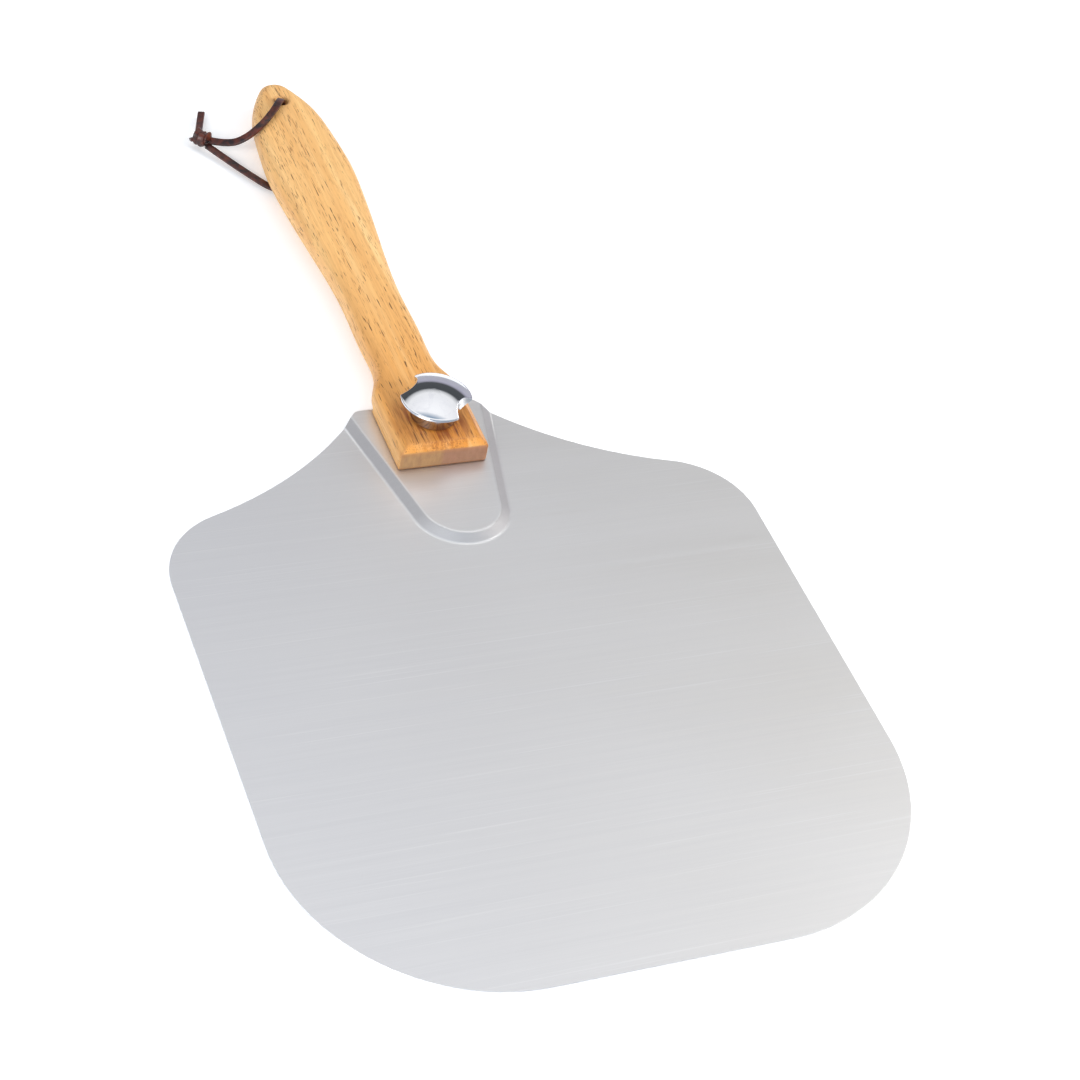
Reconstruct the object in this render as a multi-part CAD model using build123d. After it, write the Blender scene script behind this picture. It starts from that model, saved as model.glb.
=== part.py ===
from build123d import *
import os
from math import asin, atan2, cos, degrees, pi, radians, sin, sqrt, tan

# A folding pizza peel: a stamped aluminium blade, a wooden handle that swings about a pivot bolt,
# a chromed knob that clamps it, and a leather hanging strap knotted through the handle's tip.
# Millimetres. The peel lies flat: +Z up, +Y from the blade's front edge towards the handle's tip,
# and the origin lies under the middle of the peel, on the surface that it rests on.

# ---------------------------------------------------------------- driving sizes
# blade
sheet = 1.2                    # thickness of the aluminium
blade_width = 304.8
blade_length = 355.6
front_corner_radius = 97.0
shoulder_radius = 44.0
shoulder_depth = 101.0         # from the neck's end to where the straight side starts to turn in
neck_radius = 203.0            # the hollow curve between shoulder and neck
neck_half_width = 31.5
horn_radius = 5.0              # rounding of the neck's two corners

# raised tongue, stamped up out of the blade to carry the handle
tongue_rise = 3.0
tongue_radius = 20.5           # round end of its flat top
tongue_slope_run = 5.2         # width of the sloping wall around it
tongue_reach = 73.8            # from the neck's end to the centre of the round end
tongue_splay = 11.5            # degrees that each arm opens
rim_bend_radius = 2.0          # inside radius of the bend round the tongue's flat top
foot_bend_radius = 3.0         # inside radius of the bend where the slope meets the blade
sheet_edge_radius = 0.3        # deburred edge all round the blade

# handle
handle_length = 315.0
handle_thickness = 13.5
handle_overlap = 46.6          # how far the handle's butt lies inboard of the neck's end
handle_gap = 0.3               # air between the handle and the tongue, held by the washer
block_half_width = 23.5
block_length = 44.0
waist_half_width = 16.1
grip_half_width = 24.3
shoulder_half_width = 17.6     # where the grip starts to close to the tip
tip_radius = 10.0
tip_turn = 30.0                # degrees from +X to where the sides meet the tip's round end
top_edge_radius = 5.5
bottom_edge_radius = 4.5
butt_chamfer = 4.0
butt_corner_radius = 1.6        # the block's two upright corners

# hanging hole
hole_diameter = 8.0
hole_from_tip = 19.6

# pivot
pivot_from_butt = 22.0
bolt_diameter = 6.0
bolt_head_diameter = 16.0
bolt_head_height = 2.5
bolt_neck_square = 6.0
bolt_neck_length = 2.2
bolt_in_knob = 9.0             # length of shank above the knob's seat
square_clearance = 0.3         # across the square hole
washer_diameter = 20.0
washer_thickness = 1.5
washer_bore = 9.4              # clears the corners of the bolt's square neck
washer_recess_clearance = 0.6  # across the recess under the handle
sleeve_wall = 1.2
running_clearance = 0.12       # across the bore, bolt in sleeve
knob_washer_diameter = 18.0
knob_washer_thickness = 0.8
knob_washer_bore = 6.6

# knob
knob_diameter = 36.6
knob_boss_diameter = 23.6
knob_boss_height = 6.7
knob_flare_height = 4.5
knob_rim_thickness = 1.0
knob_dome_height = 5.0
scallop_radius = 11.3
scallop_land = 0.3             # metal left between the boss and the bottom of each scallop
scallop_direction = -42.0      # degrees from +X to the first scallop; the second is opposite
insert_wall = 1.6
insert_length = 8.0
insert_set_back = 0.6          # from the boss's face up to the insert
thread_clearance = 0.2         # across the plain bore that stands for the thread
bore_end_gap = 4.0             # free depth above the shank's end

# hanging strap
strap_tube = 2.4
knot_diameter = 8.8
knot_length = 11.0
knot_rounding = 3.0

# ---------------------------------------------------------------- places that follow
overall_length = blade_length - handle_overlap + handle_length
front_y = -overall_length / 2
neck_y = front_y + blade_length
butt_y = neck_y - handle_overlap
tip_y = butt_y + handle_length
pivot_y = butt_y + pivot_from_butt
hole_y = tip_y - hole_from_tip

tongue_top = sheet + tongue_rise
handle_bottom = tongue_top + handle_gap
handle_top = handle_bottom + handle_thickness
washer_top = tongue_top + washer_thickness
knob_seat = handle_top + knob_washer_thickness
sleeve_bore = bolt_diameter + running_clearance
sleeve_diameter = sleeve_bore + 2 * sleeve_wall
insert_bore = bolt_diameter + thread_clearance
insert_diameter = insert_bore + 2 * insert_wall
shank_top = knob_seat + bolt_in_knob


# ---------------------------------------------------------------- helpers
def disc(diameter, bottom, height, x=0.0, y=None):
    """Upright cylinder standing on z = bottom, on the pivot axis unless placed elsewhere."""
    place = Pos(x, pivot_y if y is None else y, bottom)
    return place * Cylinder(diameter / 2, height, align=(Align.CENTER, Align.CENTER, Align.MIN))


def edges_at(solid, height, reach=0.01):
    """Edges of a solid that lie in the level plane z = height."""
    return [e for e in solid.edges()
            if abs(e.bounding_box().min.Z - height) < reach and abs(e.bounding_box().max.Z - height) < reach]


def cord(points, diameter):
    """Round tube along straight runs joined by tangent arcs, each as large as its runs allow."""
    points = [Vector(*p) for p in points]
    runs = [points[i + 1] - points[i] for i in range(len(points) - 1)]
    radii = []
    for before, after in zip(runs[:-1], runs[1:]):
        half_turn = radians(before.get_angle(after)) / 2
        radii.append(0.45 * min(before.length, after.length) / tan(half_turn))
    print("   radii", [round(r, 1) for r in radii])
    path = FilletPolyline(*points, radius=radii)
    section = Plane(origin=points[0], z_dir=runs[0]) * Circle(diameter / 2)
    tube = sweep(section, path=path)
    print("   length %.1f  volume / (section x length) %.4f"
          % (path.length, tube.volume / (pi * diameter ** 2 / 4 * path.length)))
    return tube


def save(node, solid):
    os.makedirs("parts", exist_ok=True)
    export_step(solid, "parts/" + node + ".step")
    print(node)


# ---------------------------------------------------------------- blade
def blade_outline():
    """Plan of the blade: straight front, large front corners, shoulders and hollow curves to the neck."""
    half = blade_width / 2
    shoulder_y = neck_y - shoulder_depth
    shoulder = Vector(half - shoulder_radius, shoulder_y)
    horn = Vector(neck_half_width, neck_y)
    # centre of the hollow curve: it touches the shoulder's arc and passes through the horn
    across = horn - shoulder
    gap = across.length
    reach = shoulder_radius + neck_radius
    along = (reach ** 2 - neck_radius ** 2 + gap ** 2) / (2 * gap)
    side = sqrt(reach ** 2 - along ** 2)
    unit = across.normalized()
    hollow = shoulder + unit * along + Vector(unit.Y, -unit.X) * side
    meet = shoulder + (hollow - shoulder).normalized() * shoulder_radius
    shoulder_turn = atan2(meet.Y - shoulder.Y, meet.X - shoulder.X)
    shoulder_mid = shoulder + Vector(cos(shoulder_turn / 2), sin(shoulder_turn / 2)) * shoulder_radius
    a0 = atan2(meet.Y - hollow.Y, meet.X - hollow.X)
    a1 = atan2(horn.Y - hollow.Y, horn.X - hollow.X)
    a0, a1 = a0 % (2 * pi), a1 % (2 * pi)
    hollow_mid = hollow + Vector(cos((a0 + a1) / 2), sin((a0 + a1) / 2)) * neck_radius
    corner = Vector(half - front_corner_radius, front_y + front_corner_radius)
    corner_mid = corner + Vector(cos(-pi / 4), sin(-pi / 4)) * front_corner_radius
    with BuildSketch() as plan:
        with BuildLine():
            Line((0, front_y), (corner.X, front_y))
            ThreePointArc((corner.X, front_y), corner_mid, (half, corner.Y))
            Line((half, corner.Y), (half, shoulder_y))
            ThreePointArc((half, shoulder_y), shoulder_mid, meet)
            ThreePointArc(meet, hollow_mid, horn)
            Line(horn, (0, neck_y))
            mirror(about=Plane.YZ)
        make_face()
        fillet([v for v in plan.vertices() if v.Y > neck_y - 1 and abs(v.X) > 1], horn_radius)
    return plan.sketch


def tongue_outline(radius, beyond):
    """U that opens towards the handle: a round end and two splayed arms that run off the neck."""
    centre_y = neck_y - tongue_reach
    splay = radians(tongue_splay)
    start = Vector(radius * cos(splay), centre_y - radius * sin(splay))
    end_y = neck_y + beyond
    end = Vector(start.X + (end_y - start.Y) * tan(splay), end_y)
    with BuildSketch() as plan:
        with BuildLine():
            ThreePointArc((-start.X, start.Y), (0, centre_y - radius), (start.X, start.Y))
            Line(start, end)
            Line(end, (-end.X, end.Y))
            Line((-end.X, end.Y), (-start.X, start.Y))
        make_face()
    return plan.sketch


def tongue_block(foot_z, rim_radius):
    """The raised tongue as a solid, from its foot outline up to its flat top with a rounded rim."""
    spill = 40.0
    foot = Pos(0, 0, foot_z) * tongue_outline(tongue_radius + tongue_slope_run, spill)
    top = Pos(0, 0, foot_z + tongue_rise) * tongue_outline(tongue_radius, spill)
    block = loft([foot.face(), top.face()], ruled=True)
    rim = [e for e in edges_at(block, foot_z + tongue_rise) if e.center().Y < neck_y + spill - 1]
    return fillet(rim, rim_radius)


def foot_edges(solid, height):
    """The edges at one level where the tongue's slope meets the flat sheet."""
    foot_radius = tongue_radius + tongue_slope_run
    low_y, high_y = neck_y - tongue_reach - foot_radius, neck_y - horn_radius
    return [e for e in edges_at(solid, height)
            if abs(e.center().X) < 2 * tongue_radius and low_y - 1 < e.center().Y < high_y]


def sheet_edges(solid):
    """Every edge along the cut side of the sheet, above and below, but not across it."""
    sides = [f for f in solid.faces() if abs(f.normal_at().Z) < 0.01]
    found = []
    for edge in (e for side in sides for e in side.edges()):
        if abs(edge.tangent_at(0.5).Z) < 0.95 and not any(edge.is_same(other) for other in found):
            found.append(edge)
    return found


def blade():
    """Flat sheet with the tongue pressed up through it, trimmed to the outline, with the bolt's square hole."""
    slab = extrude(blade_outline(), amount=sheet)
    trim = extrude(blade_outline(), amount=tongue_top + 1)
    pressed = slab + (tongue_block(sheet, rim_bend_radius + sheet) & trim)
    pressed = fillet(foot_edges(pressed, sheet), foot_bend_radius)
    pressed -= tongue_block(0, rim_bend_radius)
    pressed = fillet(foot_edges(pressed, 0), foot_bend_radius + sheet)
    pressed = fillet(sheet_edges(pressed), sheet_edge_radius)
    square = bolt_neck_square + square_clearance
    return pressed - Pos(0, pivot_y, tongue_top) * Box(square, square, 4 * sheet)


# ---------------------------------------------------------------- handle
def handle_outline():
    """Plan of the handle from the butt: square block, narrow waist, swelling grip, rounded tip."""
    free_length = handle_length - block_length
    turn = radians(tip_turn)
    tip_centre_y = tip_y - tip_radius
    join = (tip_radius * cos(turn), tip_centre_y + tip_radius * sin(turn))
    mid_turn = (turn + pi / 2) / 2
    tip_mid = (tip_radius * cos(mid_turn), tip_centre_y + tip_radius * sin(mid_turn))
    with BuildSketch() as plan:
        with BuildLine():
            Line((0, butt_y), (block_half_width, butt_y))
            Line((block_half_width, butt_y), (block_half_width, butt_y + block_length))
            Spline(
                (block_half_width, butt_y + block_length),
                (waist_half_width + 2.0, butt_y + block_length + 16.0),
                (waist_half_width + 0.4, butt_y + block_length + 0.15 * free_length),
                (waist_half_width, butt_y + block_length + 0.28 * free_length),
                ((waist_half_width + grip_half_width) / 2 - 0.4, butt_y + block_length + 0.47 * free_length),
                (grip_half_width - 0.7, butt_y + block_length + 0.63 * free_length),
                (grip_half_width, butt_y + block_length + 0.70 * free_length),
                (grip_half_width - 2.0, butt_y + block_length + 0.81 * free_length),
                (shoulder_half_width, tip_y - 2.4 * tip_radius),
                join,
                tangents=[(0, 1), (-sin(turn), cos(turn))],
                tangent_scalars=[1.0, 1.0])
            ThreePointArc(join, tip_mid, (0, tip_y))
            mirror(about=Plane.YZ)
        make_face()
    return plan.sketch


def chamfer_cutter(length, height):
    """Prism that cuts one 45 degree chamfer; its sharp edge runs along X, above and outside the wood."""
    with BuildSketch(Plane.YZ) as profile:
        Polygon((-1, height - butt_chamfer - 1), (-1, height + 1), (butt_chamfer + 1, height + 1), align=None)
    return extrude(profile.sketch, amount=length / 2, both=True)


def handle():
    grip = Pos(0, 0, handle_bottom) * extrude(handle_outline(), amount=handle_thickness)
    top = [e for e in edges_at(grip, handle_top) if e.center().Y > butt_y + 1]
    grip = fillet(top, top_edge_radius)
    under = [e for e in edges_at(grip, handle_bottom) if e.center().Y > butt_y + 1]
    grip = fillet(under, bottom_edge_radius)
    block = Pos(0, butt_y, handle_bottom) * Box(
        2 * block_half_width, block_length, handle_thickness, align=(Align.CENTER, Align.MIN, Align.MIN))
    wood = grip + block
    corners = [e for e in wood.edges().filter_by(Axis.Z) if e.center().Y < butt_y + 1]
    wood = fillet(corners, butt_corner_radius)
    # chamfers round the top of the block: across the butt, then down both sides until the flare
    wood -= Pos(0, butt_y, 0) * chamfer_cutter(4 * block_half_width, handle_top)
    side_y = butt_y + 0.6 * block_length
    for turn, side in ((90, 1), (-90, -1)):
        wood -= Pos(side * block_half_width, side_y, 0) * Rot(0, 0, turn) * chamfer_cutter(
            2.2 * block_length, handle_top)
    wood -= disc(washer_diameter + washer_recess_clearance, 0, washer_top)
    wood -= disc(sleeve_diameter, 0, handle_top + 1)
    wood -= disc(hole_diameter, 0, handle_top + 1, y=hole_y)
    return wood


# ---------------------------------------------------------------- pivot
def pivot_bolt():
    """Low round head in the hollow under the tongue, square neck through the blade, plain shank above."""
    under_head = tongue_rise
    head_radius = bolt_head_diameter / 2
    cap = (head_radius ** 2 + bolt_head_height ** 2) / (2 * bolt_head_height)
    head = Pos(0, pivot_y, under_head - bolt_head_height + cap) * Sphere(cap)
    head &= disc(bolt_head_diameter, under_head - bolt_head_height, bolt_head_height)
    neck = Pos(0, pivot_y, under_head) * Box(
        bolt_neck_square, bolt_neck_square, bolt_neck_length, align=(Align.CENTER, Align.CENTER, Align.MIN))
    shank = disc(bolt_diameter, under_head, shank_top - under_head)
    end = edges_at(shank, shank_top)
    return head + neck + chamfer(end, 0.5)


def friction_washer():
    return disc(washer_diameter, tongue_top, washer_thickness) - disc(washer_bore, 0, washer_top + 1)


def pivot_sleeve():
    return disc(sleeve_diameter, washer_top, handle_top - washer_top) - disc(sleeve_bore, 0, handle_top + 1)


def knob_washer():
    ring = disc(knob_washer_diameter, handle_top, knob_washer_thickness)
    return ring - disc(knob_washer_bore, 0, knob_seat + 1)


# ---------------------------------------------------------------- knob
boss_radius = knob_boss_diameter / 2
rim_radius = knob_diameter / 2
flare_z = knob_seat + knob_boss_height
rim_z = flare_z + knob_flare_height
dome_z = rim_z + knob_rim_thickness
insert_z = knob_seat + insert_set_back


def knob():
    """Turned blank with a boss, an undercut flare and a domed top; two scallops leave two finger lobes."""
    dome_top = dome_z + knob_dome_height
    dome_radius = (rim_radius ** 2 + knob_dome_height ** 2) / (2 * knob_dome_height)
    half_angle = asin(rim_radius / dome_radius) / 2
    dome_mid = (dome_radius * sin(half_angle), dome_top - dome_radius * (1 - cos(half_angle)))
    with BuildSketch(Plane.XZ) as profile:
        with BuildLine():
            Polyline((0, knob_seat), (boss_radius, knob_seat), (boss_radius, flare_z),
                     (rim_radius, rim_z), (rim_radius, dome_z))
            ThreePointArc((rim_radius, dome_z), dome_mid, (0, dome_top))
            Line((0, dome_top), (0, knob_seat))
        make_face()
    blank = Pos(0, pivot_y, 0) * revolve(profile.sketch, Axis.Z)
    reach = boss_radius + scallop_land + scallop_radius
    for turn in (scallop_direction, scallop_direction + 180):
        blank -= disc(2 * scallop_radius, knob_seat - 1, dome_top, x=reach * cos(radians(turn)),
                      y=pivot_y + reach * sin(radians(turn)))
    blank -= disc(insert_bore, 0, shank_top + bore_end_gap)
    return blank - disc(insert_diameter, 0, insert_z + insert_length)


def knob_insert():
    return disc(insert_diameter, insert_z, insert_length) - disc(insert_bore, 0, dome_z)


# ---------------------------------------------------------------- hanging strap
# Routes measured from the middle of the hanging hole, on the level that the peel rests on.
split = (1.0, 0.5, 11.2)       # inside the hole, where the two legs of the strap meet
upper_route = [
    split, (1.0, 0.5, 16.5), (-1.5, -3.0, 21.3), (-8.5, -14.5, 22.6), (-18.0, -25.5, 21.6),
    (-28.0, -29.0, 15.0), (-37.0, -26.2, 9.0), (-45.6, -18.6, 6.8)]
lower_route = [
    split, (1.0, 0.5, 6.5), (0.6, -2.5, 3.0), (0.2, -8.6, 3.0), (1.8, -16.5, 3.0), (3.0, -29.5, 3.0),
    (2.7, -42.5, 3.0), (1.7, -52.5, 3.0), (-1.8, -59.1, 3.0), (-8.2, -63.1, 3.0), (-15.7, -63.4, 3.0),
    (-22.3, -59.9, 3.0), (-29.6, -48.5, 3.0), (-38.2, -34.6, 3.2), (-47.6, -19.9, 4.4)]
tail_route = [(-50.8, -11.5, 6.0), (-48.3, -4.5, 4.9), (-45.2, 4.6, 3.8), (-42.2, 13.0, 3.2)]
knot_place = (-49.2, -15.7, 6.3)
knot_heading = -53.0           # degrees from +X of the knot's length, towards the two legs


def placed(route):
    return [(x, hole_y + y, z) for x, y, z in route]


def strap_knot():
    x, y, z = knot_place
    body = Cylinder(knot_diameter / 2, knot_length)
    body = fillet(body.edges().filter_by(GeomType.CIRCLE), knot_rounding)
    return Pos(x, hole_y + y, z) * Rot(0, 0, knot_heading) * Rot(0, 90, 0) * body


PIECES = {
    "blade": blade,
    "handle": handle,
    "pivot_bolt": pivot_bolt,
    "friction_washer": friction_washer,
    "pivot_sleeve": pivot_sleeve,
    "knob_washer": knob_washer,
    "knob": knob,
    "knob_insert": knob_insert,
    "strap_upper": lambda: cord(placed(upper_route), strap_tube),
    "strap_lower": lambda: cord(placed(lower_route), strap_tube),
    "strap_knot": strap_knot,
    "strap_tail": lambda: cord(placed(tail_route), strap_tube),
}

for node, make in PIECES.items():
    save(node, make())
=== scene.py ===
# %% [markdown]
# # A folding pizza peel
# The peel is a sheet of satin aluminium with a tongue stamped up out of it, a hardwood handle that swings
# over the blade, a chromed knob that clamps the handle, and a leather lace to hang it by.
# The CAD model is loaded first as a fixed frame. Its sheet metal and hardware are the real shapes, so they
# keep their own meshes and get finishes. The wood, the knob and the lace are made again here, because
# sanding, rounded chrome edges and soft leather are things that a mesh tool does better.

# %% Load the frame
import math

import bmesh
import bpy
from mathutils import Matrix, Quaternion, Vector


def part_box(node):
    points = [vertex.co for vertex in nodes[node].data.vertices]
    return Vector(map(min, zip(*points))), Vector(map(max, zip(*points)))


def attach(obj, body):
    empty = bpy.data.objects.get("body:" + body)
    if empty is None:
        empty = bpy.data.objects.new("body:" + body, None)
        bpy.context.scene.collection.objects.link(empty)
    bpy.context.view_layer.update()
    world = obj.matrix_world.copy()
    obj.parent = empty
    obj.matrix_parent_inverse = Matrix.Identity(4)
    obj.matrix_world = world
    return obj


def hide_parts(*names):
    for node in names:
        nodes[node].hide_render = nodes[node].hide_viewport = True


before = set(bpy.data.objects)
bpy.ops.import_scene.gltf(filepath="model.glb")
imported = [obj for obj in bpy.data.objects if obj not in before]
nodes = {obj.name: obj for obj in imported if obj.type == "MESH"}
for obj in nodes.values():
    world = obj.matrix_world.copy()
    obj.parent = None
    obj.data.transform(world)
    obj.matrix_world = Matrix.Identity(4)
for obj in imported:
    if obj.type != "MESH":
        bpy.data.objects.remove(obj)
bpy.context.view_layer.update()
MM = 0.001

# %% [markdown]
# ## Where things are
# Every place used below is read from the CAD nodes, so the pieces made here land on the real ones.

# %% Places read from the frame
blade_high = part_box("blade")[1]
wood_low, wood_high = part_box("handle")
knob_low, knob_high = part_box("knob")
bolt_low, bolt_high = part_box("pivot_bolt")
pivot = (bolt_low + bolt_high) / 2
pivot.z = 0
SHEET = 1.2 * MM
HOLE_FROM_TIP = 19.6 * MM
hole_y = wood_high.y - HOLE_FROM_TIP
print("pivot at y %.1f mm, hanging hole at y %.1f mm" % (pivot.y / MM, hole_y / MM))


# %% [markdown]
# ## Camera
# A long lens from the front left, 43 degrees above the floor, and rolled so that the handle points to the
# upper left of the picture. The camera is aimed at a point on the floor and then turned about its own axis.

# %% Camera
def point_at(thing, place, target, roll=0.0):
    """Puts a camera or light at a place, aims it at a point and rolls it about its own axis."""
    thing.location = place
    thing.rotation_mode = "QUATERNION"
    aim = (Vector(target) - Vector(place)).to_track_quat("-Z", "Y")
    thing.rotation_quaternion = aim @ Quaternion((0, 0, 1), math.radians(roll))


camera_place = Vector((-0.4202, -0.8434, 0.8389))
camera_target = Vector((0.0330, -0.0581, 0.0))
camera_roll = 13.9
bpy.ops.object.camera_add()
camera = bpy.context.object
camera.name = "camera"
camera.data.sensor_width = 36.0
camera.data.lens = 83.7
point_at(camera, camera_place, camera_target, camera_roll)
bpy.context.scene.camera = camera
print("camera is %.2f m from its target" % (camera_place - camera_target).length)

# %% [markdown]
# ## The lace
# The real lace is one strip of waxed leather, about 4 mm wide and 2 mm thick. It goes down through the
# hanging hole, and both legs are tied together in one overhand knot beside the handle.
# Each leg is a smooth NURBS line through listed points. The strip is then swept along that line as
# a mesh, because a flat strip has to lie down on the wood, and a mesh lets each stretch turn as it needs.

# %% Lace sizes and routes
LACE_WIDTH = 4.0 * MM
LACE_THICK = 1.9 * MM
# measured from the middle of the hanging hole, in millimetres, as the CAD tubes are
SPLIT = (1.0, 0.5, 11.2)
upper_route = [
    SPLIT, (1.0, 0.5, 16.5), (-1.5, -3.0, 21.3), (-8.5, -14.5, 22.6), (-18.0, -25.5, 21.6),
    (-28.0, -29.0, 15.0), (-37.0, -26.2, 9.0), (-45.6, -18.6, 6.8)]
lower_route = [
    SPLIT, (1.0, 0.5, 6.5), (0.6, -2.5, 3.0), (0.2, -8.6, 3.0), (1.8, -16.5, 3.0), (3.0, -29.5, 3.0),
    (2.7, -42.5, 3.0), (1.7, -52.5, 3.0), (-1.8, -59.1, 3.0), (-8.2, -63.1, 3.0), (-15.7, -63.4, 3.0),
    (-22.3, -59.9, 3.0), (-29.6, -48.5, 3.0), (-38.2, -34.6, 3.2), (-47.6, -19.9, 4.4)]
tail_route = [(-50.8, -11.5, 6.0), (-48.3, -4.5, 4.9), (-45.2, 4.6, 3.8), (-42.2, 13.0, 3.2)]


def placed(route):
    return [Vector((x * MM, hole_y + y * MM, z * MM)) for x, y, z in route]


def smooth_line(points, steps=24):
    """Points along the NURBS curve that has these control points."""
    curve = bpy.data.curves.new("route", "CURVE")
    curve.dimensions = "3D"
    spline = curve.splines.new("NURBS")
    spline.points.add(len(points) - 1)
    for control, place in zip(spline.points, points):
        control.co = (*place, 1.0)
    spline.order_u = 3
    spline.use_endpoint_u = True
    curve.resolution_u = steps
    holder = bpy.data.objects.new("route", curve)
    mesh = bpy.data.meshes.new_from_object(holder)
    line = [v.co.copy() for v in mesh.vertices]
    bpy.data.objects.remove(holder)
    bpy.data.curves.remove(curve)
    bpy.data.meshes.remove(mesh)
    return line


def length_of(line):
    return sum((b - a).length for a, b in zip(line[:-1], line[1:]))


upper_line = smooth_line(placed(upper_route))
lower_line = smooth_line(placed(lower_route))
tail_line = smooth_line(placed(tail_route))
for title, line in (("upper", upper_line), ("lower", lower_line), ("tail", tail_line)):
    print(title, "leg: %d points, %.1f mm" % (len(line), length_of(line) / MM))

# %% [markdown]
# The strip's section is a flat rectangle with softly broken corners. To sweep it, each point of the line
# gets a direction across the strip, which is carried along from the last point with the least turning.
# That is what a real strip does: it rolls as little as it can.

# %% Sweep a flat strip along a line
def strip_section(width, thick, corner=0.5 * MM):
    """Points round the section, as pairs across and through the strip."""
    section = []
    for side_x, side_z, start in ((1, 1, 0), (-1, 1, 90), (-1, -1, 180), (1, -1, 270)):
        for turn in (0, 30, 60, 90):
            angle = math.radians(start + turn)
            section.append((side_x * (width / 2 - corner) + corner * math.cos(angle),
                            side_z * (thick / 2 - corner) + corner * math.sin(angle)))
    return section


def directions_along(line, first_across):
    """For each point, the directions ahead and across."""
    across = Vector(first_across)
    found = []
    for k in range(len(line)):
        ahead = (line[min(k + 1, len(line) - 1)] - line[max(k - 1, 0)]).normalized()
        across = (across - ahead * across.dot(ahead)).normalized()
        found.append((ahead, across.copy()))
    return found


def sweep_strip(name, line, first_across, width=LACE_WIDTH, thick=LACE_THICK):
    """A strip of leather as a mesh, with its cut ends on the second material slot."""
    section = strip_section(width, thick)
    work = bmesh.new()
    rings = []
    for point, (ahead, across) in zip(line, directions_along(line, first_across)):
        through = ahead.cross(across)
        rings.append([work.verts.new(point + across * a + through * t) for a, t in section])
    count = len(section)
    for before, after in zip(rings[:-1], rings[1:]):
        for k in range(count):
            work.faces.new((before[k], before[(k + 1) % count], after[(k + 1) % count], after[k]))
    for end in (work.faces.new(list(reversed(rings[0]))), work.faces.new(rings[-1])):
        end.material_index = 1
    bmesh.ops.recalc_face_normals(work, faces=work.faces)
    mesh = bpy.data.meshes.new(name)
    work.to_mesh(mesh)
    work.free()
    piece = bpy.data.objects.new(name, mesh)
    bpy.context.collection.objects.link(piece)
    smooth_sides(piece)
    return piece


def pick(piece):
    """Selects one object only, and makes it the active one."""
    bpy.ops.object.select_all(action="DESELECT")
    piece.select_set(True)
    bpy.context.view_layer.objects.active = piece
    return piece


def smooth_sides(piece, degrees=40):
    pick(piece)
    bpy.ops.object.shade_smooth_by_angle(angle=math.radians(degrees))


lace_upper = sweep_strip("lace_upper", upper_line, (0.83, -0.55, 0.0))
lace_lower = sweep_strip("lace_lower", lower_line, (1.0, 0.0, 0.0))
lace_tail = sweep_strip("lace_tail", tail_line, (0.94, -0.26, 0.1))
for strip in (lace_upper, lace_lower, lace_tail):
    print(strip.name, len(strip.data.polygons), "faces")

# %% [markdown]
# ### The knot
# An overhand knot of two strips shows as a small lump with wraps that run across it at a slant. It is made
# as a core, so that no gap shows through, and strips wound round the core in slanting turns. The core is
# a sphere, shaped in edit mode. The cut end of one strip sticks out of it.

# %% Core of the knot
KNOT_PLACE = placed([(-49.2, -15.7, 6.3)])[0]
KNOT_HEADING = math.radians(-53.0)
KNOT_CORE = 3.2 * MM
WRAP_RADIUS = 3.75 * MM
# its lowest wrap has to clear the blade when the handle is folded over it
KNOT_RISE = Vector((0, 0, 0.35 * MM))
knot_frame = Matrix.Translation(KNOT_PLACE + KNOT_RISE) @ Matrix.Rotation(KNOT_HEADING, 4, "Z")

bpy.ops.object.select_all(action="DESELECT")
bpy.ops.mesh.primitive_uv_sphere_add(segments=24, ring_count=16, radius=KNOT_CORE)
knot_core = bpy.context.object
bpy.ops.object.mode_set(mode="EDIT")
bpy.ops.transform.resize(value=(1.35, 1.0, 0.95))
bpy.ops.object.mode_set(mode="OBJECT")
knot_core.data.transform(knot_frame)
smooth_sides(knot_core, 60)


def wrap_route(start, turns, advance, phase, radius):
    """Control points of a strip that winds round the core's long axis, and dives into it at both ends."""
    count = max(6, int(turns * 10))
    route = []
    for k in range(count + 1):
        share = k / count
        angle = math.radians(phase) + share * turns * 2 * math.pi
        sunk = radius * (1.0 - 0.45 * abs(2 * share - 1) ** 4)
        route.append(knot_frame @ Vector(
            (start + share * turns * advance, sunk * math.cos(angle), sunk * math.sin(angle))))
    return route


knot_pieces = [knot_core]
for number, (start, turns, advance, phase) in enumerate((
        (-4.1 * MM, 1.35, 3.0 * MM, -60), (-0.6 * MM, 1.3, 3.4 * MM, 30))):
    line = smooth_line(wrap_route(start, turns, advance, phase, WRAP_RADIUS), 8)
    knot_pieces.append(sweep_strip("wrap_%d" % number, line, knot_frame.to_3x3() @ Vector((1, 0, 0)),
                                   width=3.9 * MM, thick=1.5 * MM))
stub_route = ((-1.0, -0.5, -0.5), (-4.0, -2.0, -1.0), (-5.2, -4.5, -1.6))
stub_line = smooth_line([knot_frame @ (Vector(p) * MM) for p in stub_route], 8)
knot_pieces.append(sweep_strip("cut_end", stub_line, (0.6, -0.8, 0.3), width=3.6 * MM))

bpy.ops.object.select_all(action="DESELECT")
for part in knot_pieces:
    part.select_set(True)
bpy.context.view_layer.objects.active = knot_core
bpy.ops.object.join()
lace_knot = bpy.context.object
lace_knot.name = "lace_knot"
print("knot:", len(lace_knot.data.polygons), "faces")

# %% Hide the CAD lace and attach the made strips to the handle
for strip, node in ((lace_upper, "strap_upper"), (lace_lower, "strap_lower"),
                    (lace_tail, "strap_tail"), (lace_knot, "strap_knot")):
    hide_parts(node)
    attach(strip, "handle")

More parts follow.
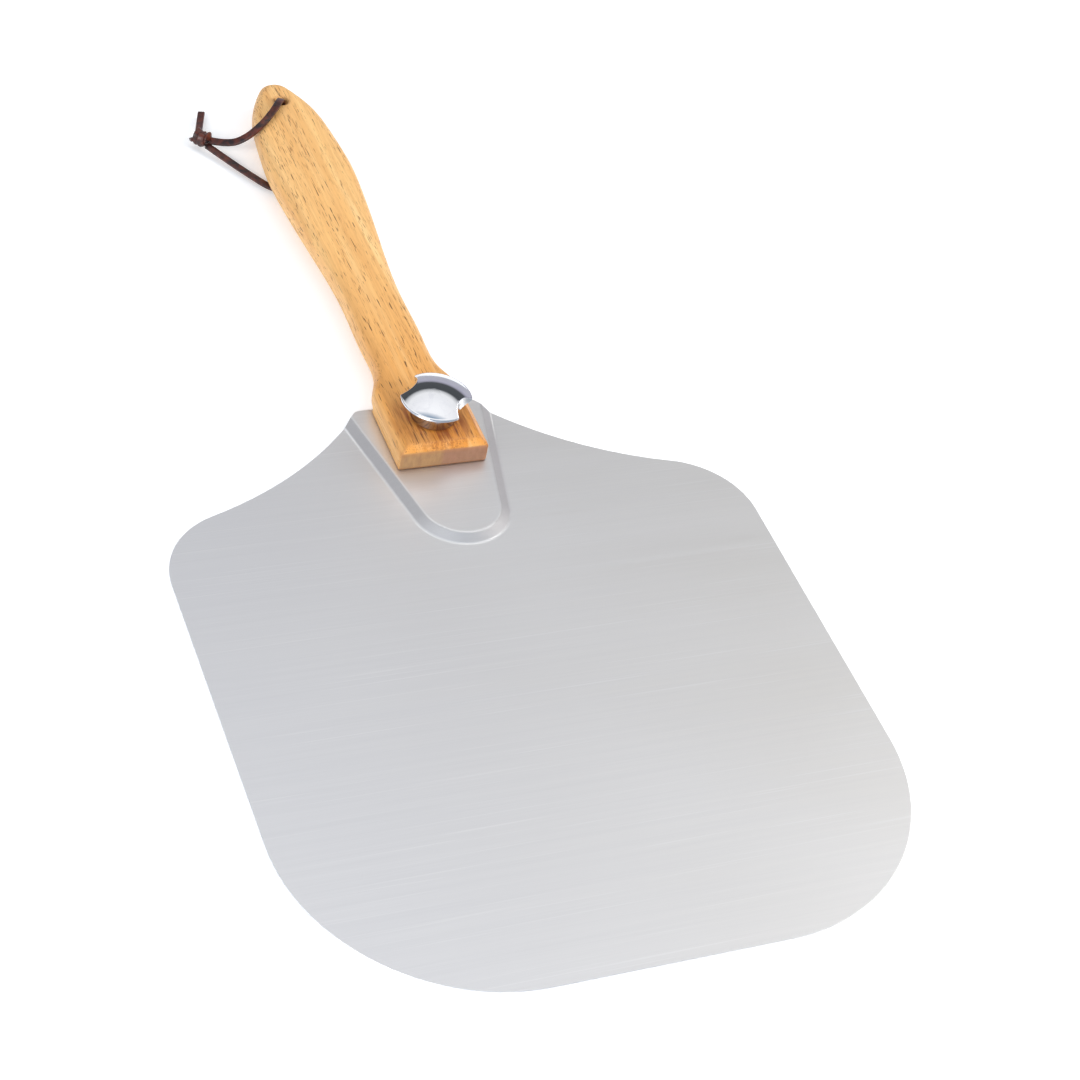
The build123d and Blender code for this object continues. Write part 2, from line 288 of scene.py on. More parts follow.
# %% [markdown]
# ## The wooden handle
# The real handle is cut from a board, shaped and sanded, so no edge of it is truly sharp. The CAD solid
# has the right shape but crisp edges. A copy of it is merged, turned into an even skin of small squares
# by the voxel remesh, and relaxed a little. That rounds every edge as sandpaper does, and it also gives
# the wood's finish an even mesh, from which it can tell edges from flats.

# %% Sand the handle
SKIN_SQUARE = 0.65 * MM
pick(nodes["handle"])
bpy.ops.object.duplicate()
handle_wood = bpy.context.object
handle_wood.name = "handle_wood"
handle_wood.parent = None
handle_wood.matrix_world = Matrix.Identity(4)
handle_wood.data.materials.clear()
bpy.ops.object.mode_set(mode="EDIT")
bpy.ops.mesh.select_all(action="SELECT")
bpy.ops.mesh.remove_doubles(threshold=0.005 * MM)
bpy.ops.object.mode_set(mode="OBJECT")
skin = handle_wood.modifiers.new("skin", "REMESH")
skin.mode = "VOXEL"
skin.voxel_size = SKIN_SQUARE
bpy.ops.object.modifier_apply(modifier="skin")
relax = handle_wood.modifiers.new("relax", "SMOOTH")
relax.factor = 0.5
relax.iterations = 5
bpy.ops.object.modifier_apply(modifier="relax")
pick(handle_wood)
bpy.ops.object.shade_smooth()
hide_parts("handle")
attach(handle_wood, "handle")
print("handle:", len(handle_wood.data.polygons), "faces")

# %% [markdown]
# ## The knob
# The knob is taken to be cast zinc with a chrome plate. Polished plate shows every bump, so its mesh is not
# cut with booleans. It is grown ring by ring instead. The first ring is a circle, pushed into the knob's
# outline: round, with two finger scallops. The ring is extruded and placed again for each height of the
# profile: up over a rounded edge and the dome to the top, and down round the underside to the boss.

# %% Outline of the knob
KNOB_RADIUS = 18.3 * MM
BOSS_RADIUS = 11.8 * MM
SCALLOP_RADIUS = 11.3 * MM
SCALLOP_TO_BOSS = 0.3 * MM
SCALLOP_PLACE = BOSS_RADIUS + SCALLOP_TO_BOSS + SCALLOP_RADIUS
SCALLOP_TURN = math.radians(-42.0)
DOME_RISE = 5.0 * MM
dome_ball = (KNOB_RADIUS ** 2 + DOME_RISE ** 2) / (2 * DOME_RISE)
dome_top = knob_high.z
seat = knob_low.z
AROUND = 240


def arc_points(centre, radius, start, end, step):
    count = max(2, int(abs(end - start) * radius / step))
    return [centre + radius * Vector((math.cos(a), math.sin(a)))
            for a in (start + (end - start) * k / count for k in range(count))]


def knob_outline():
    """Even points round the knob: rim, scallop, rim, scallop, with the four corners eased."""
    step = 0.1 * MM
    corner = math.acos((SCALLOP_PLACE ** 2 + KNOB_RADIUS ** 2 - SCALLOP_RADIUS ** 2)
                       / (2 * SCALLOP_PLACE * KNOB_RADIUS))
    inside = math.acos((SCALLOP_PLACE ** 2 + SCALLOP_RADIUS ** 2 - KNOB_RADIUS ** 2)
                       / (2 * SCALLOP_PLACE * SCALLOP_RADIUS))
    points = []
    for turn in (SCALLOP_TURN, SCALLOP_TURN + math.pi):
        back = turn + math.pi
        centre = SCALLOP_PLACE * Vector((math.cos(turn), math.sin(turn)))
        points += arc_points(centre, SCALLOP_RADIUS, back + inside, back - inside, step)
        points += arc_points(Vector((0, 0)), KNOB_RADIUS, turn + corner, back - corner, step)
    for _ in range(30):
        after = points[1:] + points[:1]
        points = [(points[k - 1] + points[k] * 2 + after[k]) / 4 for k in range(len(points))]
    total = [0.0]
    for k in range(len(points)):
        total.append(total[-1] + (points[(k + 1) % len(points)] - points[k]).length)
    even = []
    at = 0
    for k in range(AROUND):
        wanted = total[-1] * k / AROUND
        while total[at + 1] < wanted:
            at += 1
        share = (wanted - total[at]) / (total[at + 1] - total[at])
        even.append(points[at].lerp(points[(at + 1) % len(points)], share))
    return even


outline = knob_outline()
inward = []
for k in range(AROUND):
    run = (outline[(k + 1) % AROUND] - outline[k - 1]).normalized()
    inward.append(Vector((-run.y, run.x)))
if inward[0].dot(outline[0]) > 0:
    inward = [-i for i in inward]
print("knob outline: %d points, first one at %.1f mm" % (AROUND, outline[0].length / MM))

# %% Profile of the knob
FLARE_LOW = seat + 6.7 * MM
FLARE_RISE = 4.5 * MM
EDGE = 0.5 * MM
BOSS_EDGE = 0.5 * MM
SEAT_RING = 8.0 * MM           # a ring part of the way across the flat seat
INSERT_RADIUS = 4.75 * MM
INSERT_DEPTH = 8.6 * MM
BORE_RADIUS = 3.1 * MM
BORE_DEPTH = 13.0 * MM


def dome_z(radius):
    return dome_top - dome_ball + math.sqrt(dome_ball ** 2 - radius ** 2)


def under_z(radius):
    return FLARE_LOW + FLARE_RISE * max(0.0, radius - BOSS_RADIUS) / (KNOB_RADIUS - BOSS_RADIUS)


def edge_point(k, turn, upper):
    """A point on the rounded edge between the wall and the dome, or the wall and the underside."""
    flat = outline[k] + inward[k] * EDGE * (1 - math.sin(turn))
    middle = outline[k] + inward[k] * EDGE
    if upper:
        z = dome_z(middle.length) - EDGE * (1 - math.cos(turn))
    else:
        z = under_z(middle.length) + EDGE * (1 - math.cos(turn))
    return flat, z


def dome_point(k, share):
    flat = (outline[k] + inward[k] * EDGE) * share
    return flat, dome_z(flat.length)


def flare_point(k, share):
    """Along the cone under the rim, from the edge in to the boss."""
    start = outline[k] + inward[k] * EDGE
    flat = start.lerp(start.normalized() * (BOSS_RADIUS + 0.02 * MM), share)
    return flat, under_z(flat.length)


def round_point(k, radius, z):
    return outline[k].normalized() * radius, z


top_rings = [lambda k, t=t: edge_point(k, math.radians(t), True) for t in (70, 50, 30, 15, 0)]
top_rings += [lambda k, s=s: dome_point(k, s) for s in (
    0.97, 0.93, 0.88, 0.82, 0.75, 0.68, 0.6, 0.52, 0.44, 0.36, 0.28, 0.2, 0.13, 0.06)]
under_rings = [lambda k, t=t: edge_point(k, math.radians(t), False) for t in (90, 70, 50, 30, 15, 0)]
under_rings += [lambda k, s=s: flare_point(k, s) for s in (0.3, 0.6, 0.85, 0.95, 1.0)]
boss_steps = [(BOSS_RADIUS, z) for z in (FLARE_LOW - 0.4 * MM, seat + 3.5 * MM, seat + 0.8 * MM)]
for rounding in (0, 30, 60, 90):
    in_by = BOSS_EDGE * (1 - math.cos(math.radians(rounding)))
    up_by = BOSS_EDGE * (1 - math.sin(math.radians(rounding)))
    boss_steps.append((BOSS_RADIUS - in_by, seat + up_by))
boss_steps += [(SEAT_RING, seat), (INSERT_RADIUS, seat), (INSERT_RADIUS, seat + INSERT_DEPTH),
               (BORE_RADIUS, seat + INSERT_DEPTH), (BORE_RADIUS, seat + BORE_DEPTH)]
under_rings += [lambda k, r=r, z=z: round_point(k, r, z) for r, z in boss_steps]
print("knob profile: %d rings above the edge, %d below" % (len(top_rings), len(under_rings)))

# %% Grow the knob
bpy.ops.object.select_all(action="DESELECT")
bpy.ops.mesh.primitive_circle_add(vertices=AROUND, radius=KNOB_RADIUS)
knob_chrome = bpy.context.object
knob_chrome.name = "knob_chrome"


def place_ring(work, number, place):
    """Moves the selected ring of vertices to the places that place(k) gives."""
    for vert in work.verts:
        if vert.select:
            flat, z = place(vert[number])
            vert.co = (pivot.x + flat.x, pivot.y + flat.y, z)


def grow(piece, first, rings):
    """Extrudes the selected ring once for each entry of rings; first places the ring it starts from."""
    work = bmesh.from_edit_mesh(piece.data)
    number = work.verts.layers.int["number"]
    place_ring(work, number, first)
    for place in rings:
        bpy.ops.mesh.extrude_edges_move()
        work = bmesh.from_edit_mesh(piece.data)
        number = work.verts.layers.int["number"]
        place_ring(work, number, place)
    bmesh.update_edit_mesh(piece.data)


bpy.ops.object.mode_set(mode="EDIT")
work = bmesh.from_edit_mesh(knob_chrome.data)
number = work.verts.layers.int.new("number")
work.verts.ensure_lookup_table()
for vert in work.verts:
    vert[number] = vert.index
bmesh.update_edit_mesh(knob_chrome.data)
grow(knob_chrome, lambda k: edge_point(k, math.radians(90), True), top_rings)
bpy.ops.mesh.merge(type="CENTER")
work = bmesh.from_edit_mesh(knob_chrome.data)
for vert in work.verts:
    if vert.select:
        vert.co = (pivot.x, pivot.y, dome_top)
bpy.ops.mesh.select_all(action="DESELECT")
bpy.ops.mesh.select_non_manifold()
grow(knob_chrome, lambda k: edge_point(k, math.radians(90), True), under_rings)
bpy.ops.mesh.edge_face_add()
bpy.ops.mesh.select_all(action="SELECT")
bpy.ops.mesh.normals_make_consistent(inside=False)
bpy.ops.object.mode_set(mode="OBJECT")
smooth_sides(knob_chrome, 35)
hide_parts("knob")
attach(knob_chrome, "knob")
print("knob:", len(knob_chrome.data.polygons), "faces")

# %% [markdown]
# ## Effects that the finishes share
# Two node groups do most of the work. The first is a noise that can be pulled long in any direction: pulled
# along the wood it makes pores and streaks, and pulled across the blade it makes the marks of the brushing
# wheel. The second finds edges by how sharply the mesh turns there, for wood that darkens on its corners
# and leather that is rubbed pale. A group only puts out masks, and each finish mixes its own colours.

# %% Node helpers
def add_node(tree, kind, settings=None, **inputs):
    """Adds a node, sets its properties from settings and its sockets' values by name."""
    node = tree.nodes.new(kind)
    for key, value in (settings or {}).items():
        setattr(node, key, value)
    for key, value in inputs.items():
        socket = node.inputs[key.replace("_", " ")]
        if isinstance(value, bpy.types.NodeSocket):
            tree.links.new(value, socket)
        else:
            socket.default_value = value
    return node


def mix_colors(tree, factor, first, second):
    """Mixes two colours, or sockets, by a number or a mask."""
    node = tree.nodes.new("ShaderNodeMix")
    node.data_type = "RGBA"
    for index, value in ((0, factor), (6, first), (7, second)):
        if isinstance(value, bpy.types.NodeSocket):
            tree.links.new(value, node.inputs[index])
        elif index == 0:
            node.inputs[0].default_value = value
        else:
            node.inputs[index].default_value = (*value, 1.0)
    return node.outputs[2]


def between(tree, value, low, high, to_low=0.0, to_high=1.0):
    """Maps a value's range to another, without going past its ends."""
    node = tree.nodes.new("ShaderNodeMapRange")
    tree.links.new(value, node.inputs["Value"])
    for key, number in (("From Min", low), ("From Max", high), ("To Min", to_low), ("To Max", to_high)):
        node.inputs[key].default_value = number
    return node.outputs["Result"]


def combine(tree, operation, first, second):
    """Adds, multiplies or otherwise joins two values."""
    node = tree.nodes.new("ShaderNodeMath")
    node.operation = operation
    for index, value in enumerate((first, second)):
        if isinstance(value, bpy.types.NodeSocket):
            tree.links.new(value, node.inputs[index])
        else:
            node.inputs[index].default_value = value
    return node.outputs[0]


# %% Group: pulled noise
def make_pulled_noise():
    group = bpy.data.node_groups.new("pulled_noise", "ShaderNodeTree")
    sockets = group.interface
    sockets.new_socket("Place", in_out="INPUT", socket_type="NodeSocketVector")
    sockets.new_socket("Cells per metre", in_out="INPUT", socket_type="NodeSocketVector")
    for name, value in (("Detail", 2.0), ("Wander", 0.0), ("Low", 0.3), ("High", 0.7)):
        sockets.new_socket(name, in_out="INPUT", socket_type="NodeSocketFloat").default_value = value
    sockets.new_socket("Mask", in_out="OUTPUT", socket_type="NodeSocketFloat")
    enter = group.nodes.new("NodeGroupInput")
    leave = group.nodes.new("NodeGroupOutput")
    stretch = add_node(group, "ShaderNodeVectorMath", {"operation": "MULTIPLY"})
    group.links.new(enter.outputs["Place"], stretch.inputs[0])
    group.links.new(enter.outputs["Cells per metre"], stretch.inputs[1])
    noise = add_node(group, "ShaderNodeTexNoise", {"noise_dimensions": "3D"}, Scale=1.0, Roughness=0.55)
    group.links.new(stretch.outputs[0], noise.inputs["Vector"])
    group.links.new(enter.outputs["Detail"], noise.inputs["Detail"])
    group.links.new(enter.outputs["Wander"], noise.inputs["Distortion"])
    clip = add_node(group, "ShaderNodeMapRange")
    group.links.new(noise.outputs["Fac"], clip.inputs["Value"])
    group.links.new(enter.outputs["Low"], clip.inputs["From Min"])
    group.links.new(enter.outputs["High"], clip.inputs["From Max"])
    group.links.new(clip.outputs["Result"], leave.inputs["Mask"])
    return group


pulled_noise = make_pulled_noise()


def streaks(tree, place, cells, detail=2.0, wander=0.0, low=0.3, high=0.7):
    """Places the pulled noise in a finish. cells is how many fit in a metre along x, y and z."""
    node = tree.nodes.new("ShaderNodeGroup")
    node.node_tree = pulled_noise
    tree.links.new(place, node.inputs["Place"])
    node.inputs["Cells per metre"].default_value = cells
    for key, number in (("Detail", detail), ("Wander", wander), ("Low", low), ("High", high)):
        node.inputs[key].default_value = number
    return node.outputs["Mask"]


# %% Group: edges
def make_edge_finder():
    group = bpy.data.node_groups.new("edge_finder", "ShaderNodeTree")
    sockets = group.interface
    for name, value in (("Low", 0.52), ("High", 0.6), ("Break up", 0.5)):
        sockets.new_socket(name, in_out="INPUT", socket_type="NodeSocketFloat").default_value = value
    sockets.new_socket("Noise", in_out="INPUT", socket_type="NodeSocketFloat")
    sockets.new_socket("Edge", in_out="OUTPUT", socket_type="NodeSocketFloat")
    enter = group.nodes.new("NodeGroupInput")
    leave = group.nodes.new("NodeGroupOutput")
    geometry = group.nodes.new("ShaderNodeNewGeometry")
    clip = add_node(group, "ShaderNodeMapRange")
    group.links.new(geometry.outputs["Pointiness"], clip.inputs["Value"])
    group.links.new(enter.outputs["Low"], clip.inputs["From Min"])
    group.links.new(enter.outputs["High"], clip.inputs["From Max"])
    worn = combine(group, "MULTIPLY", enter.outputs["Break up"], enter.outputs["Noise"])
    kept = combine(group, "SUBTRACT", 1.0, worn)
    group.links.new(combine(group, "MULTIPLY", clip.outputs["Result"], kept), leave.inputs["Edge"])
    return group


edge_finder = make_edge_finder()


def edges(tree, noise, low, high, break_up=0.5):
    node = tree.nodes.new("ShaderNodeGroup")
    node.node_tree = edge_finder
    tree.links.new(noise, node.inputs["Noise"])
    for key, number in (("Low", low), ("High", high), ("Break up", break_up)):
        node.inputs[key].default_value = number
    return node.outputs["Edge"]


def start_finish(name, **principled):
    """A new material, its tree, its Principled BSDF and its Object coordinates."""
    material = bpy.data.materials.new(name)
    material.use_nodes = True
    tree = material.node_tree
    shader = tree.nodes["Principled BSDF"]
    for key, value in principled.items():
        shader.inputs[key.replace("_", " ")].default_value = value
    place = tree.nodes.new("ShaderNodeTexCoord").outputs["Object"]
    return material, tree, shader, place


def tinted(tree, tone, mask, amount, color):
    """The tone, with a share of another colour where the mask is on."""
    return mix_colors(tree, combine(tree, "MULTIPLY", mask, amount), tone, color)


def put_bump(tree, shader, height, strength, distance):
    bump = add_node(tree, "ShaderNodeBump", Strength=strength, Distance=distance, Height=height)
    tree.links.new(bump.outputs["Normal"], shader.inputs["Normal"])


print("node groups:", [g.name for g in bpy.data.node_groups])

# %% [markdown]
# ## Finishes
# ### Satin aluminium
# The sheet is rolled, washed and lightly brushed across its width. Up close it has very fine lines, and
# from a distance only a soft change of tone shows. It is a bare metal, so its tone comes from Base Color
# with Metallic at 1, and its satin look from a middling roughness that the brushing lines disturb.

# %% Finish: satin aluminium
sheet_metal, tree, shader, place = start_finish("satin_aluminium", Metallic=1.0)
brushing = streaks(tree, place, (14, 3200, 3200), detail=3.0, low=0.25, high=0.75)
wheel_marks = streaks(tree, place, (5, 330, 330), detail=4.0)
scratches = streaks(tree, place, (9, 1100, 1100), detail=1.0, wander=0.3, low=0.66, high=0.72)
clouds = streaks(tree, place, (7, 9, 9), detail=1.0, low=0.35, high=0.65)
separate = add_node(tree, "ShaderNodeSeparateXYZ", Vector=place)
# painted light: the blade's colour runs from a cool tint on its left to a warm one on its right
painted_light_across = between(tree, separate.outputs["X"], -0.15, 0.15)
tint = mix_colors(tree, painted_light_across, (0.80, 0.805, 0.83), (0.80, 0.785, 0.76))
tint = tinted(tree, tint, clouds, 0.35, (0.86, 0.86, 0.865))
tint = tinted(tree, tint, brushing, 0.12, (0.68, 0.68, 0.69))
tint = tinted(tree, tint, wheel_marks, 0.14, (0.68, 0.68, 0.69))
tint = tinted(tree, tint, scratches, 0.25, (0.93, 0.93, 0.94))
# painted shade: the tongue's slope is given a darker colour than the flats, and a higher roughness
slope = combine(tree, "MULTIPLY", between(tree, separate.outputs["Z"], SHEET + 0.005 * MM, SHEET + 0.5 * MM),
                between(tree, separate.outputs["Z"], blade_high.z - 0.01 * MM, blade_high.z - 0.25 * MM))
tint = tinted(tree, tint, slope, 0.52, (0.36, 0.335, 0.33))
tree.links.new(tint, shader.inputs["Base Color"])
rough = between(tree, brushing, 0, 1, 0.38, 0.48)
rough = combine(tree, "ADD", rough, combine(tree, "MULTIPLY", wheel_marks, 0.06))
rough = combine(tree, "ADD", rough, combine(tree, "MULTIPLY", slope, 0.12))
tree.links.new(rough, shader.inputs["Roughness"])
put_bump(tree, shader, brushing, 0.12, 0.02 * MM)

# %% [markdown]
# ### Oiled hardwood
# The wood is a pale gold with short dark pores, each a fraction of a millimetre wide and some millimetres
# long, thicker in some bands than others. Broad streaks change its tone along the board. It is oranger
# toward the butt; nothing is known about why. Round the knob it has painted shadow: a dark reddish
# tint, and dark streaks that are partly grain and partly painted shadow.
# Everything follows the handle's length. Pores are slightly sunken, and edges are darker.

# %% Finish: oiled hardwood
oiled_wood, tree, shader, place = start_finish("oiled_hardwood", Metallic=0.0)
lean = add_node(tree, "ShaderNodeMapping", Vector=place)
lean.inputs["Rotation"].default_value = (0.0, math.radians(1.0), math.radians(-1.0))
along = lean.outputs["Vector"]
broad = streaks(tree, along, (95, 5, 70), wander=0.6, low=0.32, high=0.68)
fine = streaks(tree, along, (900, 22, 700), detail=4.0, wander=0.4, low=0.32, high=0.68)
bands = streaks(tree, along, (140, 7, 140), detail=1.0, low=0.42, high=0.62)
pores = streaks(tree, along, (2200, 120, 2200), detail=1.0, low=0.60, high=0.67)
flecks = streaks(tree, along, (1300, 80, 1300), detail=1.0, low=0.68, high=0.715)
pale = streaks(tree, along, (120, 4, 60), detail=1.0, wander=0.5, low=0.45, high=0.68)
pores = combine(tree, "MULTIPLY", pores, between(tree, bands, 0, 1, 0.35, 1.0))
separate = add_node(tree, "ShaderNodeSeparateXYZ", Vector=place)
toward_butt = between(tree, separate.outputs["Y"], pivot.y + 0.14, pivot.y - 0.02)
gold = mix_colors(tree, toward_butt, (0.89, 0.545, 0.215), (0.62, 0.235, 0.024))
gold = tinted(tree, gold, pale, 0.55, (0.97, 0.70, 0.34))
gold = tinted(tree, gold, broad, 0.60, (0.74, 0.36, 0.10))
gold = tinted(tree, gold, fine, 0.42, (0.52, 0.235, 0.07))
# painted shadow round the knob's boss: the wood there is darkened to a deep red-brown, and the dark streaks
# that follow are partly grain and partly painted shadow
from_knob = add_node(tree, "ShaderNodeVectorMath", {"operation": "DISTANCE"})
tree.links.new(place, from_knob.inputs[0])
from_knob.inputs[1].default_value = (pivot.x, pivot.y - 2 * MM, wood_high.z)
knob_shadow_mask = between(tree, from_knob.outputs["Value"], 24 * MM, 13 * MM)
gold = tinted(tree, gold, knob_shadow_mask, 0.45, (0.46, 0.14, 0.012))
ruddy_streaks_and_shadow = streaks(tree, along, (620, 50, 620), low=0.44, high=0.60)
ruddy_streaks_and_shadow = combine(tree, "MULTIPLY", knob_shadow_mask, ruddy_streaks_and_shadow)
gold = tinted(tree, gold, ruddy_streaks_and_shadow, 0.85, (0.22, 0.05, 0.01))
gold = tinted(tree, gold, pores, 0.85, (0.22, 0.08, 0.02))
gold = tinted(tree, gold, flecks, 0.85, (0.07, 0.028, 0.01))
# end grain drinks more oil: the butt's face is browner
end_grain = between(tree, separate.outputs["Y"], wood_low.y + 0.9 * MM, wood_low.y + 0.3 * MM)
# and its tone changes in the middle, as on a board that was glued up from two strips
strip_side = between(tree, separate.outputs["X"], -2.0 * MM, 0.0)
end_tone = mix_colors(tree, strip_side, (0.38, 0.215, 0.09), (0.31, 0.155, 0.095))
end_streaks = streaks(tree, place, (420, 40, 160))
end_tone = tinted(tree, end_tone, end_streaks, 0.55, (0.22, 0.11, 0.06))
gold = tinted(tree, gold, end_grain, 0.95, end_tone)
corner = edges(tree, broad, 0.504, 0.535, 0.3)
gold = tinted(tree, gold, corner, 0.60, (0.34, 0.13, 0.035))
tree.links.new(gold, shader.inputs["Base Color"])
rough = combine(tree, "ADD", between(tree, fine, 0, 1, 0.40, 0.50), combine(tree, "MULTIPLY", pores, 0.2))
tree.links.new(rough, shader.inputs["Roughness"])
relief = combine(tree, "SUBTRACT", combine(tree, "MULTIPLY", fine, 0.25), combine(tree, "ADD", pores, flecks))
put_bump(tree, shader, relief, 0.35, 0.06 * MM)

# %% [markdown]
# ### Chrome, steel, brass and nylon
# The knob's chrome is polished, with the faintest smears from fingers. The bolt and washer are plated
# steel, duller and with turning marks. The brass bush and insert and the nylon washer are hardly seen,
# but they show in other views and when the peel is folded.

# %% Finish: polished chrome
polished_chrome, tree, shader, place = start_finish("polished_chrome", Metallic=1.0)
smears = streaks(tree, place, (190, 160, 190), detail=3.0, wander=0.8, low=0.45, high=0.75)
tone = mix_colors(tree, smears, (0.72, 0.73, 0.76), (0.66, 0.67, 0.71))
# painted shade: the boss under the rim is given a darker, browner colour than the dome, and a higher
# roughness
separate = add_node(tree, "ShaderNodeSeparateXYZ", Vector=place)
under_rim = between(tree, separate.outputs["Z"], knob_low.z + 7.5 * MM, knob_low.z + 4 * MM)
tone = tinted(tree, tone, under_rim, 0.75, (0.30, 0.26, 0.24))
tree.links.new(tone, shader.inputs["Base Color"])
rough = between(tree, smears, 0, 1, 0.03, 0.08)
rough = combine(tree, "ADD", rough, combine(tree, "MULTIPLY", under_rim, 0.08))
tree.links.new(rough, shader.inputs["Roughness"])
put_bump(tree, shader, streaks(tree, place, (130, 130, 130), detail=1.0), 0.03, 0.05 * MM)

# %% Finish: plated steel
plated_steel, tree, shader, place = start_finish("plated_steel", Metallic=1.0)
turned = streaks(tree, place, (700, 700, 5200), detail=2.0)
spots = streaks(tree, place, (450, 450, 450), detail=2.0, low=0.5, high=0.75)
tone = mix_colors(tree, combine(tree, "MULTIPLY", spots, 0.5), (0.60, 0.60, 0.62), (0.42, 0.41, 0.40))
tree.links.new(tone, shader.inputs["Base Color"])
tree.links.new(between(tree, turned, 0, 1, 0.24, 0.40), shader.inputs["Roughness"])
put_bump(tree, shader, turned, 0.15, 0.02 * MM)

# %% Finish: turned brass
turned_brass, tree, shader, place = start_finish("turned_brass", Metallic=1.0)
turned = streaks(tree, place, (500, 500, 6000), detail=2.0)
tone = mix_colors(tree, turned, (0.78, 0.57, 0.24), (0.62, 0.42, 0.16))
tree.links.new(tone, shader.inputs["Base Color"])
tree.links.new(between(tree, turned, 0, 1, 0.22, 0.36), shader.inputs["Roughness"])
put_bump(tree, shader, turned, 0.15, 0.02 * MM)

# %% Finish: nylon
nylon, tree, shader, place = start_finish("white_nylon", Metallic=0.0)
cloudy = streaks(tree, place, (260, 260, 260), detail=3.0)
tree.links.new(mix_colors(tree, cloudy, (0.78, 0.77, 0.73), (0.70, 0.69, 0.65)), shader.inputs["Base Color"])
tree.links.new(between(tree, cloudy, 0, 1, 0.42, 0.55), shader.inputs["Roughness"])
put_bump(tree, shader, cloudy, 0.1, 0.05 * MM)

# %% [markdown]
# ### Waxed leather
# The lace is split hide, dyed dark red-brown and waxed, so it is nearly black in shade, and its broken
# corners are rubbed lighter. Its cut ends show the undyed fibre.

# %% Finish: waxed leather
waxed_leather, tree, shader, place = start_finish("waxed_leather", Metallic=0.0)
mottle = streaks(tree, place, (260, 260, 260), detail=3.0, wander=0.5, low=0.35, high=0.65)
hide_grain = streaks(tree, place, (2600, 2600, 2600), detail=2.0, low=0.35, high=0.65)
dye = mix_colors(tree, mottle, (0.009, 0.003, 0.004), (0.095, 0.019, 0.009))
rubbed = edges(tree, mottle, 0.56, 0.70, 0.6)
dye = tinted(tree, dye, rubbed, 0.3, (0.20, 0.075, 0.055))
tree.links.new(dye, shader.inputs["Base Color"])
tree.links.new(between(tree, hide_grain, 0, 1, 0.30, 0.48), shader.inputs["Roughness"])
put_bump(tree, shader, hide_grain, 0.30, 0.06 * MM)

# %% Finish: cut leather
cut_leather, tree, shader, place = start_finish("cut_leather", Metallic=0.0)
fibre = streaks(tree, place, (1800, 1800, 1800), detail=3.0, low=0.35, high=0.65)
tree.links.new(mix_colors(tree, fibre, (0.20, 0.12, 0.09), (0.34, 0.24, 0.20)), shader.inputs["Base Color"])
tree.links.new(between(tree, fibre, 0, 1, 0.7, 0.9), shader.inputs["Roughness"])
put_bump(tree, shader, fibre, 0.5, 0.1 * MM)


# %% Put the finishes on
def finish_with(piece, *materials):
    """Gives a piece its materials: the first goes on the first slot, and so on."""
    piece.data.materials.clear()
    for material in materials:
        piece.data.materials.append(material)


for strip in (lace_upper, lace_lower, lace_tail, lace_knot):
    finish_with(strip, waxed_leather, cut_leather)
finish_with(handle_wood, oiled_wood)
finish_with(knob_chrome, polished_chrome)
for node, material in (("blade", sheet_metal), ("pivot_bolt", plated_steel), ("knob_washer", plated_steel),
                       ("pivot_sleeve", turned_brass), ("knob_insert", turned_brass),
                       ("friction_washer", nylon)):
    for slot in nodes[node].material_slots:
        slot.material = material
    print(node, "gets", material.name)

# %% [markdown]
# ## Studio
# A wide white floor, a room, and three soft boxes. The room is the world's colour. Its back is grey below,
# with a dark belt part of the way up and a bright ceiling, so that the polished knob has something to
# reflect. Its front is a cool grey, and dark blue high up. The two main boxes stand at the front, where the
# satin blade does not mirror them into the camera. The right one of the two is hidden from reflections.
# A weaker box at the right gives the wood and the lace some shape.

# %% Floor
bpy.ops.object.select_all(action="DESELECT")
# it lies just below the blade's underside, so that the two faces do not fight
bpy.ops.mesh.primitive_plane_add(size=8.0, location=(0, 0, -0.2 * MM))
floor = bpy.context.object
floor.name = "floor"
paper, tree, shader, place = start_finish("white_paper", Metallic=0.0, Roughness=0.9)
# it glows a little, as a light table does, so that only the deepest shadows show
shader.inputs["Emission Color"].default_value = (1.0, 1.0, 1.0, 1.0)
shader.inputs["Emission Strength"].default_value = 0.22
shader.inputs["Specular IOR Level"].default_value = 0.1
tooth = streaks(tree, place, (300, 300, 300))
tree.links.new(mix_colors(tree, tooth, (0.90, 0.90, 0.90), (0.92, 0.92, 0.92)), shader.inputs["Base Color"])
finish_with(floor, paper)

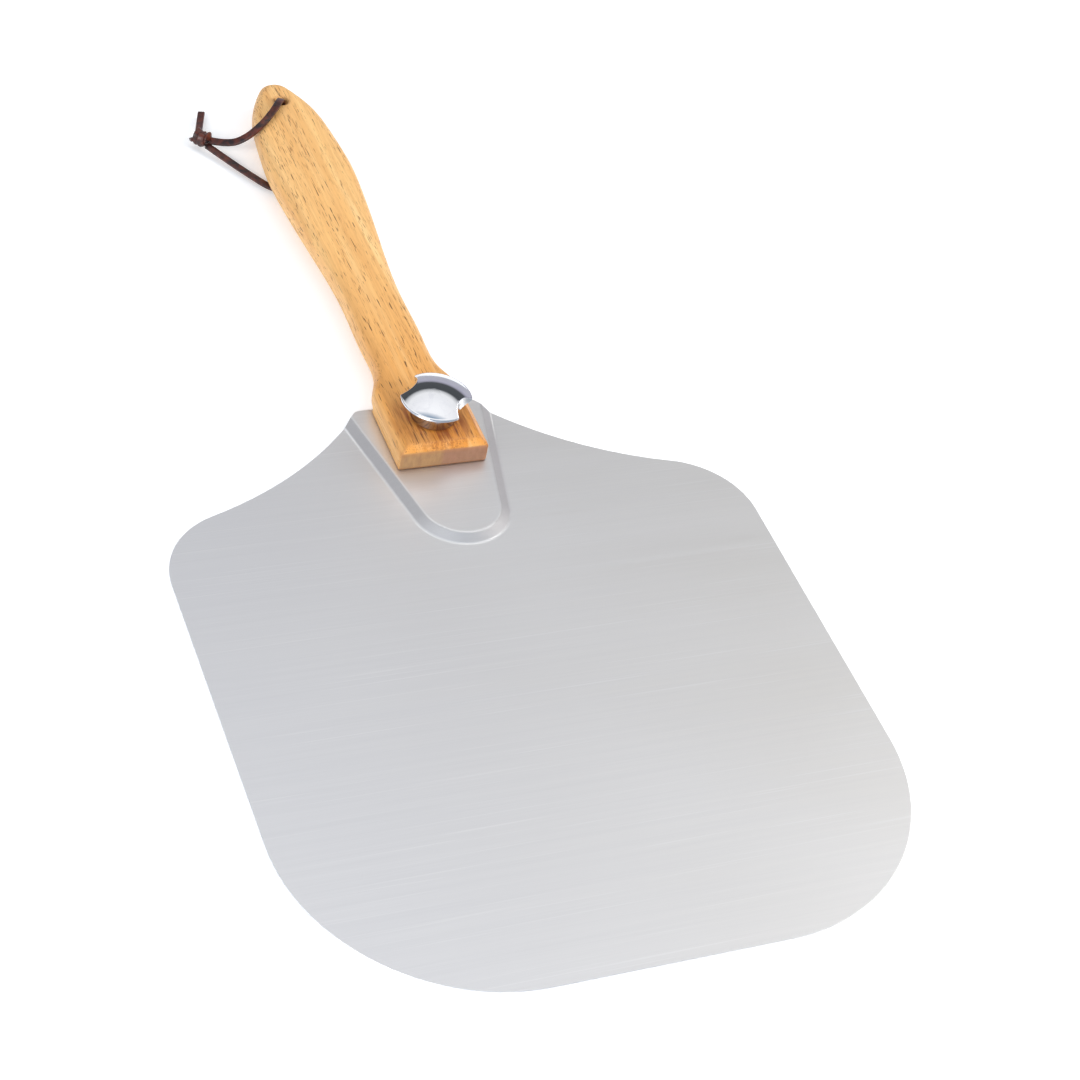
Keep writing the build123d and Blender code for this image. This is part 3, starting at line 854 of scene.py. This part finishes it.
# %% Room
room = bpy.context.scene.world or bpy.data.worlds.new("room")
bpy.context.scene.world = room
room.use_nodes = True
tree = room.node_tree
tree.nodes.clear()
direction = tree.nodes.new("ShaderNodeTexCoord")
separate = add_node(tree, "ShaderNodeSeparateXYZ", Vector=direction.outputs["Generated"])
belt = tree.nodes.new("ShaderNodeValToRGB")
tree.links.new(separate.outputs["Z"], belt.inputs["Fac"])
stops = ((0.0, (0.46, 0.46, 0.50)), (0.28, (0.44, 0.43, 0.51)), (0.34, (0.33, 0.32, 0.38)),
         (0.40, (0.08, 0.085, 0.09)), (0.64, (0.07, 0.075, 0.08)), (0.69, (0.56, 0.565, 0.57)),
         (0.76, (0.86, 0.86, 0.86)), (0.86, (0.88, 0.88, 0.89)), (1.0, (1.0, 1.0, 1.0)))
while len(belt.color_ramp.elements) < len(stops):
    belt.color_ramp.elements.new(0.5)
for element, (spot, color) in zip(belt.color_ramp.elements, stops):
    element.position = spot
    element.color = (*color, 1.0)
toward_back = add_node(tree, "ShaderNodeVectorMath", {"operation": "DOT_PRODUCT"})
tree.links.new(direction.outputs["Generated"], toward_back.inputs[0])
toward_back.inputs[1].default_value = (0.5, 0.866, 0.0)
# the front of the room is a cool grey, under a high window at dusk
window = between(tree, separate.outputs["Z"], 0.66, 0.80)
front_color = mix_colors(tree, window, (0.36, 0.40, 0.46), (0.09, 0.20, 0.33))
front = between(tree, toward_back.outputs["Value"], 0.02, -0.16)
light = mix_colors(tree, front, belt.outputs["Color"], front_color)
background = add_node(tree, "ShaderNodeBackground", Strength=1.3, Color=light)
output = tree.nodes.new("ShaderNodeOutputWorld")
tree.links.new(background.outputs["Background"], output.inputs["Surface"])


# %% Soft boxes
def soft_box(name, place, target, size, power, color):
    bpy.ops.object.light_add(type="AREA")
    lamp = bpy.context.object
    lamp.name = name
    lamp.data.shape = "DISK"
    lamp.data.size = size
    lamp.data.energy = power
    lamp.data.color = color
    point_at(lamp, place, target)
    return lamp


soft_box("front_left", (-1.7, -1.4, 1.5), (0.0, 0.0, 0.0), 1.4, 48.0, (1.0, 0.985, 0.96))
front_right = soft_box("front_right", (1.9, -1.5, 1.25), (0.0, 0.0, 0.0), 1.2, 50.0, (1.0, 0.98, 0.95))
front_right.visible_glossy = False
soft_box("right", (1.8, 0.1, 1.5), (0.0, -0.05, 0.0), 1.0, 12.0, (1.0, 0.985, 0.96))
bpy.context.scene.view_settings.view_transform = "Standard"
bpy.context.scene.view_settings.look = "None"
